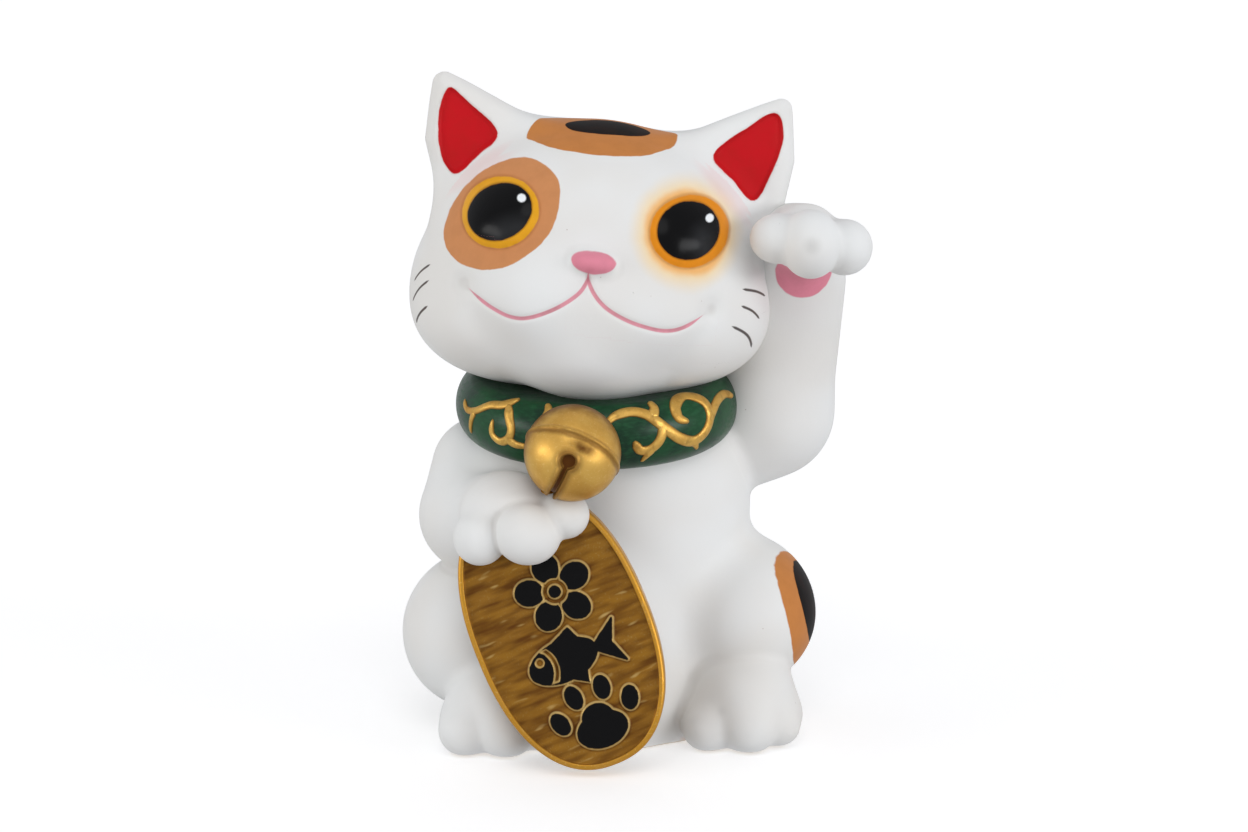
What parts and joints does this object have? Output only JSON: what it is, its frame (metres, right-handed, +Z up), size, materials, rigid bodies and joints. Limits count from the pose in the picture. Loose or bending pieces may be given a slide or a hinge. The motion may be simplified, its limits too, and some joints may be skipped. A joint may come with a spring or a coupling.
{
  "type": "ceramic cat figurine",
  "caption": "Hollow glazed ceramic figurine of a seated beckoning cat with a raised paw, collar, bell and oval coin plaque, closed by a rubber bung under its base.",
  "frame": {"origin": "on the standing plane, in the middle of the figure's bounding box", "axes": "+Z up, the cat faces -Y, +X to the right of someone who looks at its face, on the side of the raised paw"},
  "size_m": [0.1222, 0.1116, 0.1731],
  "materials": {
    "white_glaze": "satin",
    "green_enamel": "satin",
    "gold_enamel": "satin",
    "dark_rubber": "matte"
  },
  "bodies": {
    "figurine": {"body_shell": "white_glaze", "head_shell": "white_glaze", "collar": "green_enamel", "bell": "gold_enamel", "raised_arm": "white_glaze", "raised_paw": "white_glaze", "lowered_arm": "white_glaze", "holding_paw": "white_glaze", "koban": "gold_enamel", "left_hind_paw": "white_glaze", "right_hind_paw": "white_glaze", "tail": "white_glaze"},
    "stopper": {"base_stopper": "dark_rubber"}
  },
  "joints": [
    {"name": "stopper_pull", "type": "slide", "parent": "figurine", "child": "stopper", "axis": [0, 0, -1], "range_m": [0, 0.03]}
  ]
}
